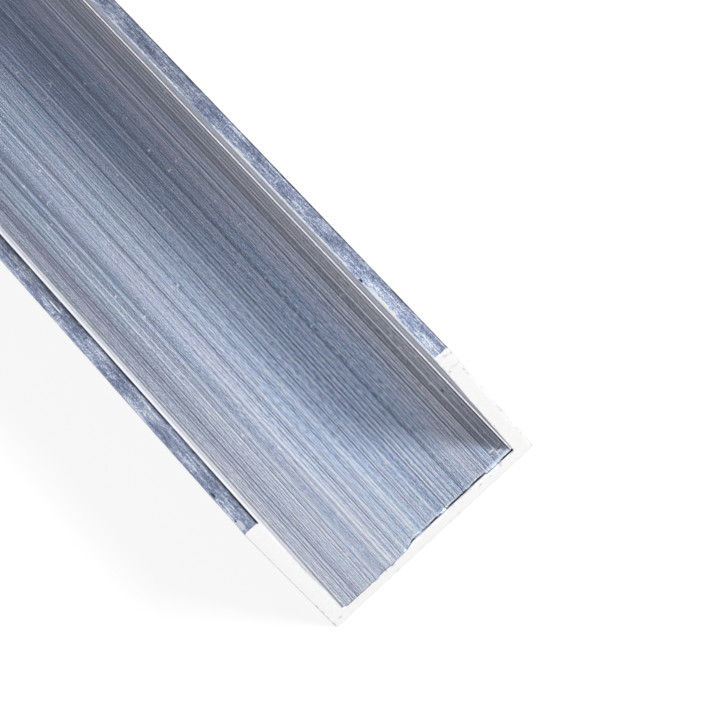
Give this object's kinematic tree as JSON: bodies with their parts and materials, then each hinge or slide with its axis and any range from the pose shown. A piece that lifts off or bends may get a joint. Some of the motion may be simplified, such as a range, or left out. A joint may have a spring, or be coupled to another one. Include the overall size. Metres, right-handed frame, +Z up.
{
  "type": "aluminium u-channel profile",
  "caption": "Extruded aluminium U-channel stock bar with square sawn ends, lying on its web with the open side up.",
  "frame": {"origin": "on the underside of the web, midway along the bar and midway between the flanges", "axes": "+X along the bar, +Y across the web, +Z up, out of the open side of the channel"},
  "size_m": [1, 0.03, 0.025],
  "materials": {
    "mill_aluminium": "mill finish with die lines along the length"
  },
  "bodies": {
    "root": {"u_channel": "mill_aluminium"}
  },
  "joints": []
}
